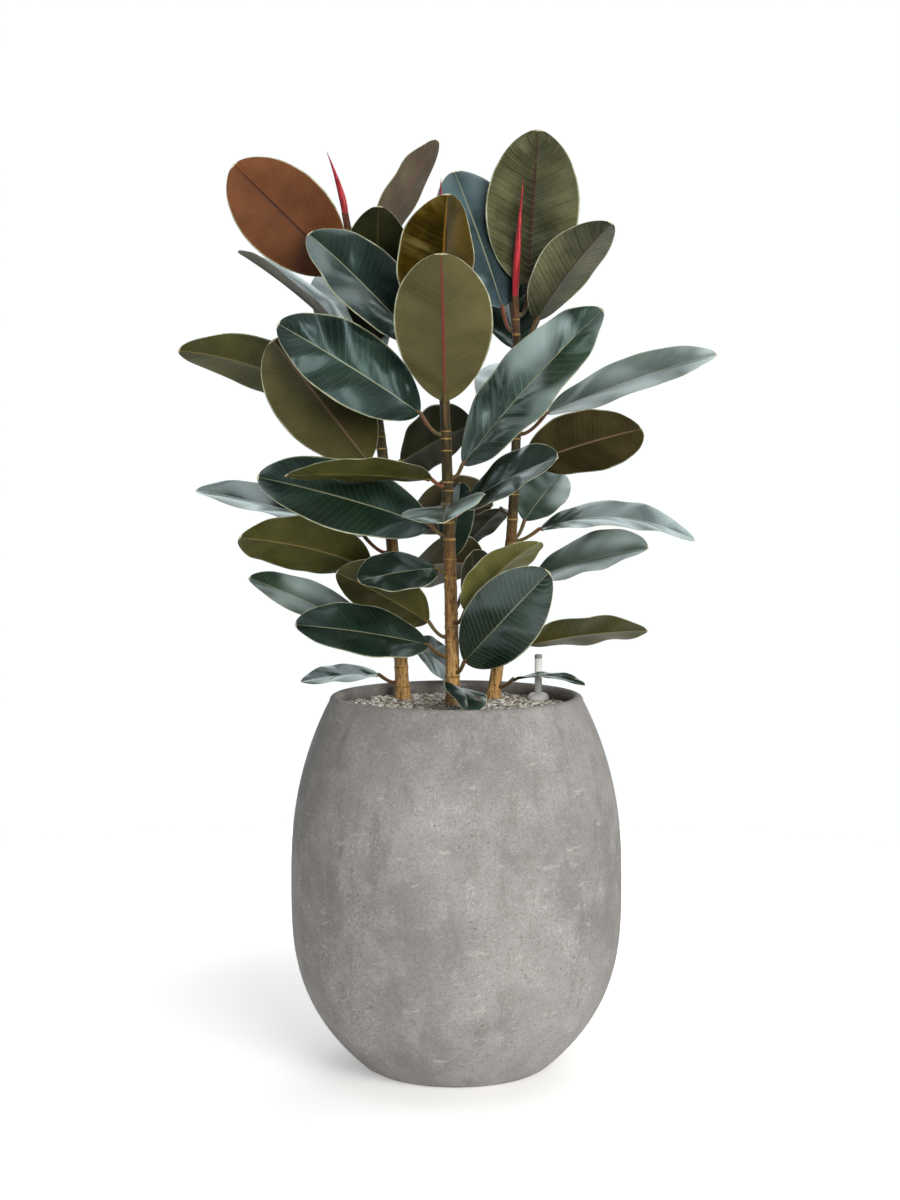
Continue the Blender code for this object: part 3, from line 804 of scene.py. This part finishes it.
def add_blade(body, blade, layers):
    """Upper and under side, joined by a rim along the margin and a strip at each end."""
    upper = blade_rows(body, blade, True)
    under = blade_rows(body, blade, False)
    for rows, kind in ((upper, "upper"), (under, "under")):
        for low, high in zip(rows, rows[1:]):
            for i in range(len(low) - 1):
                corners = (low[i], low[i + 1], high[i + 1], high[i])
                add_quad(body, corners, kind, layers, flip=kind == "under")
    for side, flip in ((0, True), (-1, False)):
        top = [row[side] for row in upper]
        bottom = [row[side] for row in under]
        join_lines(body, bottom, top, "rim", layers, flip)
    for end, flip in ((0, False), (-1, True)):
        join_lines(body, under[end], upper[end], "end", layers, flip)


def join_lines(body, bottom, top, kind, layers, flip):
    for i in range(len(top) - 1):
        add_quad(body, (bottom[i], bottom[i + 1], top[i + 1], top[i]), kind, layers, flip)


def add_quad(body, corners, kind, layers, flip):
    """Two triangles, with the same diagonal on the upper and the under side."""
    a, b, c, d = corners
    for triangle in ((a, b, c), (a, c, d)):
        add_face(body, triangle[::-1] if flip else triangle, kind, layers)


def add_face(body, corners, kind, layers):
    """One triangle with its pattern coordinates and its place in the leaf's own layout."""
    blade_uv, bake_uv = layers
    face = body.faces.new([corner.vertex for corner in corners])
    face.smooth = True
    face.material_index = face_material(corners, kind)
    for loop, corner in zip(face.loops, corners):
        loop[blade_uv].uv = (0.5 + corner.across / 2, corner.share)
        loop[bake_uv].uv = bake_place(corner, kind)


def face_material(corners, kind):
    """Dry point, pale margin, or the side that the face is on."""
    if min(corner.share for corner in corners) > DRY_FROM:
        return DRY
    if kind in ("rim", "end") or min(abs(corner.across) for corner in corners) >= MARGIN_FROM:
        return MARGIN
    return UPPER if kind == "upper" else UNDER


def bake_place(corner, kind):
    """Upper side in the left half, under side in the right half, rim and ends in strips beside them."""
    level = BAKE_LOW + BAKE_HEIGHT * corner.share
    thick = BAKE_STRIP if corner.upper else 0.0
    if kind == "rim":
        inset = BAKE_INSET + thick
        return (inset if corner.across < 0 else 1 - inset), level
    if kind == "end":
        end = BAKE_ENDS[0] if corner.share < 0.5 else BAKE_ENDS[1]
        return BAKE_MIDDLES["upper"] + corner.across * BAKE_REACH, end + thick
    return BAKE_MIDDLES[kind] + corner.across * BAKE_REACH, level


def stalk_rings(body, blade):
    """Rings around the stalk, from inside the stem to under the foot of the blade."""
    points = petiole_points(blade.leaf)
    for share in PETIOLE_ENDS:
        points.append(blade.point(share, 0.0) - blade.normal * (PETIOLE_RADIUS * (0.7 - 6 * share)))
    rings = []
    for i, point in enumerate(points):
        before = points[max(i - 1, 0)]
        after = points[min(i + 1, len(points) - 1)]
        tangent = (after - before).normalized()
        side = (blade.right - tangent * blade.right.dot(tangent)).normalized()
        up = side.cross(tangent)
        swell = 1.0 + 0.35 * max(0.0, 1 - i / 3) + 0.12 * max(0.0, 1 - abs(i - PETIOLE_STEPS) / 3)
        radius = PETIOLE_RADIUS * swell * (0.55 if i == len(points) - 1 else 1.0)
        ring = []
        for angle in turns(PETIOLE_SIDES):
            offset = side * math.cos(angle) * radius + up * math.sin(angle) * radius
            ring.append(body.verts.new(point + offset))
        rings.append(ring)
    return rings


def add_stalk(body, blade, layers):
    """Round stalk, laid out in a band below the blade."""
    blade_uv, bake_uv = layers
    rings = stalk_rings(body, blade)
    for i, (low, high) in enumerate(zip(rings, rings[1:])):
        for j in range(PETIOLE_SIDES):
            k = (j + 1) % PETIOLE_SIDES
            face = body.faces.new((low[j], high[j], high[k], low[k]))
            face.smooth = True
            face.material_index = STALK
            corners = ((i, j), (i + 1, j), (i + 1, j + 1), (i, j + 1))
            for loop, (ring, turn) in zip(face.loops, corners):
                loop[blade_uv].uv = (0.5, 0.0)
                loop[bake_uv].uv = (0.02 + 0.96 * ring / len(rings), 0.01 + 0.09 * turn / PETIOLE_SIDES)


def kind_of(name, kinds, usual):
    """The kind that lists this leaf, or the usual one."""
    return next((kind for kind, names in kinds.items() if name in names), usual)


def make_leaf(name, leaf, seed, materials):
    node = f"leaf_{name}"
    body = bmesh.new()
    for layout in LAYOUTS:
        body.loops.layers.uv.new(layout)
    layers = [body.loops.layers.uv[layout] for layout in LAYOUTS]
    blade = Blade(name, leaf, seed)
    add_blade(body, blade, layers)
    add_stalk(body, blade, layers)
    body.transform(leaf_matrix(leaf))
    upper = kind_of(name, UPPER_KINDS, "leaf_upper")
    under = kind_of(name, UNDER_TONES, "olive")
    parts = [materials[kind] for kind in (upper, under, "margin", "dry", "stalk")]
    place_piece(f"{node}_finished", finished_mesh(node, body, parts), node, "leaf")


def scar_heights(name):
    """Rings at the living leaves and at uneven steps where earlier ones have dropped."""
    chance = random.Random(name)
    heights = [leaf.node - 0.006 for leaf in LEAVES.values() if leaf.stem == name]
    height = FILL_TOP + 0.045
    while height < STEMS[name].tip[2] - 0.01:
        if min(abs(height - other) for other in heights) > SCAR_SPACING / 2:
            heights.append(height)
        height += SCAR_SPACING * chance.uniform(*SCAR_STEPS)
    return sorted(heights)


def stem_rings(body, name, scars):
    """Rings up the stem, with lengthwise relief that calms upwards and a swelling at each scar."""
    tip = STEMS[name].tip[2]
    count = round((tip - FILL_TOP) / STEM_ROW)
    rings = []
    for step in range(count + 1):
        height = FILL_TOP + (tip - FILL_TOP) * step / count
        near = min(abs(height - scar) for scar in scars)
        swell = SCAR_SWELL * math.exp(-(near / SCAR_SWELL_REACH) ** 2)
        age = max(0.15, 1 - (height - FILL_TOP) / ROUGH_BARK_HEIGHT)
        centre = stem_point(name, height)
        ring = []
        for angle in turns(STEM_SIDES):
            flat = level_direction(angle)
            rough = noise.noise(Vector((flat.x * 2.2, flat.y * 2.2, height * 38 + tip * 9)))
            radius = stem_radius(name, height) + swell + BARK_RELIEF * age * rough
            ring.append(body.verts.new(centre + flat * (radius - BARK_RELIEF / 2)))
        rings.append(ring)
    return rings


def make_stem(name, materials):
    """Stem in bark, with its ring scars in the second material."""
    scars = scar_heights(name)
    body = bmesh.new()
    bands = skin(body, stem_rings(body, name, scars))
    reach = STEMS[name].tip[2] - FILL_TOP
    for step, band in enumerate(bands):
        height = FILL_TOP + reach * (step + 0.5) / len(bands)
        ringed = min(abs(height - scar) for scar in scars) < SCAR_HEIGHT / 2
        for face in band:
            face.material_index = 1 if ringed else 0
    mesh = finished_mesh(f"stem_{name}", body, materials)
    place_piece(f"stem_{name}_bark", mesh, f"stem_{name}", "stem")


def make_sheath(name, material):
    """Rolled leaf: a slim spike with the fold of its outer edge winding up it."""
    lean_x, lean_y, length, foot_radius = SHEATHS[name]
    foot = Vector(STEMS[name].tip)
    body = bmesh.new()
    rings = []
    for step in range(SHEATH_ROWS + 1):
        share = step / SHEATH_ROWS
        centre = foot + Vector((lean_x * share ** 1.4, lean_y * share, length * share - 0.001))
        ring = []
        for side in range(SHEATH_SIDES):
            turn = side / SHEATH_SIDES
            lap = 0.12 * (1 - (turn + 0.5 * share) % 1.0)
            belly = 1 + 0.25 * math.sin(math.pi * min(1.0, share * 1.4))
            radius = foot_radius * (1 - 0.95 * share ** 1.8) * belly * (0.94 + lap)
            ring.append(body.verts.new(centre + level_direction(2 * math.pi * turn) * radius))
        rings.append(ring)
    skin(body, rings)
    mesh = finished_mesh(f"sheath_{name}", body, [material])
    place_piece(f"sheath_{name}_rolled", mesh, f"sheath_{name}", "sheath")


def pot_radius(height):
    """Outer radius of the planter: one curve below the widest place, one above it."""
    if height < POT_WIDEST_HEIGHT:
        share = 1 - POT_BASE_RADIUS / POT_WIDEST_RADIUS
        reach = (POT_WIDEST_HEIGHT - height) / POT_WIDEST_HEIGHT
        return POT_WIDEST_RADIUS * (1 - share * reach ** POT_LOWER_POWER)
    share = 1 - POT_RIM_RADIUS / POT_WIDEST_RADIUS
    reach = (height - POT_WIDEST_HEIGHT) / (POT_HEIGHT - POT_WIDEST_HEIGHT)
    return POT_WIDEST_RADIUS * (1 - share * reach ** POT_UPPER_POWER)


def planter_profile():
    """From the middle of the floor up the inner wall, over the rounded lip and down the outside."""
    low = POT_EDGE
    high = POT_HEIGHT - POT_WALL / 2
    inner = []
    outer = []
    for step in range(POT_ROWS + 1):
        share = step / POT_ROWS
        height = POT_FLOOR + (high - POT_FLOOR) * share
        inner.append((pot_radius(height) - POT_WALL, height))
        height = high - (high - low) * share
        outer.append((pot_radius(height), height))
    middle = pot_radius(high) - POT_WALL / 2
    lip = []
    for step in range(1, LIP_STEPS):
        angle = math.pi * (1 - step / LIP_STEPS)
        lip.append((middle + POT_WALL / 2 * math.cos(angle), high + POT_WALL / 2 * math.sin(angle)))
    foot = [(POT_BASE_RADIUS - 0.0010, 0.0022), (POT_BASE_RADIUS - 0.0028, 0.0006),
            (POT_BASE_RADIUS - 0.006, 0.0), (0.0, 0.0)]
    return [(0.0, POT_FLOOR)] + inner + lip + outer + foot


def turned(name, profile, sides, material, node, slot, place=(0.0, 0.0)):
    """Spin a profile of (radius, height) points that runs down its outer side."""
    mesh = bpy.data.meshes.new(name)
    edges = [(i, i + 1) for i in range(len(profile) - 1)]
    mesh.from_pydata([(radius, 0.0, height) for radius, height in profile], edges, [])
    mesh.materials.append(material)
    piece = place_piece(name, mesh, node, slot)
    screw = piece.modifiers.new("screw", "SCREW")
    screw.steps = sides
    screw.render_steps = sides
    screw.use_merge_vertices = True
    screw.merge_threshold = 0.0001
    screw.use_smooth_shade = True
    applied = bpy.data.meshes.new_from_object(piece.evaluated_get(bpy.context.evaluated_depsgraph_get()))
    applied.transform(Matrix.Translation((place[0], place[1], 0.0)))
    piece.modifiers.clear()
    piece.data = applied
    return piece


def pebble(body, centre, size, chance):
    """One worn granule: a small sphere squashed and dented by noise."""
    made = bmesh.ops.create_icosphere(body, subdivisions=1, radius=1.0)["verts"]
    squash = Vector((chance.uniform(0.8, 1.2), chance.uniform(0.8, 1.2), chance.uniform(0.6, 0.95)))
    spin = Matrix.Rotation(chance.uniform(*PHASES), 3, "Z")
    turn = spin @ Matrix.Rotation(chance.uniform(-0.5, 0.5), 3, "X")
    shift = Vector((chance.uniform(0, 50), chance.uniform(0, 50), chance.uniform(0, 50)))
    for vertex in made:
        dent = 1 + PEBBLE_DENT * noise.noise(vertex.co * 1.3 + shift)
        local = Vector(a * b for a, b in zip(vertex.co * dent, squash))
        vertex.co = centre + turn @ local * size


def pebble_places(chance):
    """Even jittered rows over the opening, clear of stems and gauge foot."""
    inner = pot_radius(FILL_TOP) - POT_WALL - 0.002
    feet = [(Vector(stem.foot), stem.foot_radius * 1.25) for stem in STEMS.values()]
    feet.append((Vector(GAUGE_PLACE), GAUGE_FOOT_RADIUS))
    count = int(inner / PEBBLE_SPACING) + 1
    for layer in range(PEBBLE_LAYERS):
        for i in range(-count, count + 1):
            for j in range(-count, count + 1):
                x = (i + 0.5 * (j % 2) + 0.5 * layer + chance.uniform(*PEBBLE_JITTER)) * PEBBLE_SPACING
                y = (j * ROW_SPACING + 0.4 * layer + chance.uniform(*PEBBLE_JITTER)) * PEBBLE_SPACING
                size = chance.uniform(*PEBBLE_SIZES)
                flat = Vector((x, y))
                clear = all((flat - foot).length > radius + size for foot, radius in feet)
                if flat.length + size < inner and clear:
                    height = FILL_TOP - 0.0012 + LAYER_HEIGHT * layer + chance.uniform(-0.0008, 0.0012)
                    yield Vector((x, y, height)), size


def make_granulate():
    """Loose granules dealt out by colour into one joined piece for each."""
    chance = random.Random(PEBBLE_SEED)
    bodies = [bmesh.new() for _ in GRANULES]
    shares = [share for *_, share in GRANULES]
    for centre, size in pebble_places(chance):
        body = chance.choices(bodies, shares)[0]
        pebble(body, centre, size, chance)
    for index, (body, (name, code, roughness, _)) in enumerate(zip(bodies, GRANULES)):
        for face in body.faces:
            face.smooth = True
        mesh = finished_mesh(f"granules_{index}", body, [plain_material(name, code, roughness)])
        place_piece(f"granules_{index}", mesh, None, "substrate")


def make_gauge():
    """Domed foot, milky tube with the float's rod in it, and a small cap."""
    pale = plain_material("gauge_pale", "#dcdcd8", 0.42, 0.12)
    grey = plain_material("gauge_grey", "#8b8c8a", 0.38, 0.15)
    milky = plain_material("gauge_milky", "#eef0ee", 0.16, 0.04, Transmission_Weight=0.15, IOR=1.45)
    low = FILL_TOP + 0.0005
    high = low + GAUGE_FOOT_HEIGHT
    shoulder = low + 0.003
    dome = []
    for step in range(GAUGE_DOME_STEPS + 1):
        angle = math.pi / 2 * step / GAUGE_DOME_STEPS
        radius = GAUGE_TUBE_RADIUS + (GAUGE_FOOT_RADIUS - GAUGE_TUBE_RADIUS) * math.sin(angle)
        dome.append((radius, shoulder + (high - shoulder) * math.cos(angle)))
    foot = [(0.0, high)] + dome + [(GAUGE_FOOT_RADIUS, low), (0.0, low)]
    turned("gauge_foot_dome", foot, 48, pale, "gauge_foot", "gauge_foot", GAUGE_PLACE)
    radius = GAUGE_TUBE_RADIUS
    bore = radius - GAUGE_TUBE_WALL
    cap_low = GAUGE_TUBE_TOP - GAUGE_CAP_HEIGHT
    tube_low = high - 0.002
    tube = [(bore, tube_low), (bore, cap_low), (radius, cap_low), (radius, tube_low), (bore, tube_low)]
    turned("gauge_tube_clear", tube, 40, milky, "gauge_tube", "gauge_tube", GAUGE_PLACE)
    thin = GAUGE_ROD_RADIUS
    rod = [(0.0, cap_low - 0.010), (thin, cap_low - 0.0105), (thin, high), (0.0, high)]
    turned("gauge_rod", rod, 20, grey, None, "gauge_tube", GAUGE_PLACE)
    top = GAUGE_TUBE_TOP
    cap = [(0.0, top), (radius - 0.001, top), (radius + 0.0002, top - 0.001), (radius + 0.0002, cap_low),
           (0.0, cap_low)]
    turned("gauge_cap", cap, 40, grey, None, "gauge_foot", GAUGE_PLACE)


def make_plant():
    materials = {tone: under_material(tone) for tone in UNDER_COLOURS}
    materials.update((name, upper_material(name)) for name in UPPER_LOOKS)
    materials["margin"] = speckled_material("leaf_margin", 60.0, 0.4, "#8c8e72", "#b9ba9f", 0.5)
    materials["dry"] = speckled_material("leaf_dry_tip", 300.0, 0.35, "#9a8f70", "#d9d4bd", 0.7)
    materials["stalk"] = stalk_material()
    for seed, (name, leaf) in enumerate(LEAVES.items()):
        make_leaf(name, leaf, seed, materials)
    wood = (bark_material(), scar_material())
    sheath = sheath_material()
    for name in STEMS:
        make_stem(name, wood)
        make_sheath(name, sheath)


def make_planter():
    turned("planter_shell", planter_profile(), POT_SIDES, concrete_material(), "planter", "planter")
    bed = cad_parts["substrate"]
    bed.data.materials.clear()
    # Bed under the granules, darker than they are: painted shade in the gaps between them
    bed.data.materials.append(plain_material("granulate_bed_painted_shade", "#5c564b", 0.95, 0.4))
    make_granulate()
    make_gauge()


def area_light(lamp):
    data = bpy.data.lights.new(lamp.name, "AREA")
    data.shape = "RECTANGLE"
    data.size, data.size_y = lamp.size
    data.energy = lamp.power
    data.color = lamp.tint
    light = linked(lamp.name, data)
    light.location = lamp.place
    light.rotation_euler = (Vector(LIGHT_AIM) - Vector(lamp.place)).to_track_quat("-Z", "Y").to_euler()
    return light


def make_floor():
    disc = bmesh.new()
    bmesh.ops.create_circle(disc, cap_ends=True, segments=FLOOR_SIDES, radius=FLOOR_RADIUS)
    floor = linked("floor", finished_mesh("floor", disc, [floor_material()]))


def make_surroundings():
    world = bpy.data.worlds.new("studio")
    nodes = Tree(world)
    direction = nodes.add("ShaderNodeTexCoord", {}).outputs["Generated"]
    toward = nodes.add("ShaderNodeVectorMath", {0: direction, 1: SKY_BEHIND}, operation="DOT_PRODUCT")
    behind = nodes.fade(toward.outputs["Value"], -0.45, 0.7, 0.12, 0.9)
    path = nodes.add("ShaderNodeLightPath", {})
    glossy = nodes.blend(path.outputs["Is Glossy Ray"], SKY_DIFFUSE, behind)
    sky = nodes.tree.nodes["Background"]
    nodes.put(sky.inputs["Strength"], nodes.blend(path.outputs["Is Camera Ray"], glossy, SKY_SEEN))
    nodes.put(sky.inputs["Color"], SKY_TINT)
    bpy.context.scene.world = world


def make_lights():
    for lamp in SOFT_LIGHTS:
        area_light(lamp).visible_glossy = False
    area_light(TOP_LIGHT)
    for lamp in PANELS:
        area_light(lamp).visible_diffuse = False


def make_camera():
    data = bpy.data.cameras.new("camera")
    data.lens = CAMERA_LENS
    data.sensor_width = CAMERA_SENSOR
    camera = linked("camera", data)
    camera.location = CAMERA_PLACE
    camera.rotation_euler = (math.radians(90 - CAMERA_DOWN), 0.0, 0.0)
    bpy.context.scene.camera = camera


bpy.context.scene.view_settings.view_transform = "Standard"
make_camera()
make_plant()
make_planter()
make_floor()
make_surroundings()
make_lights()
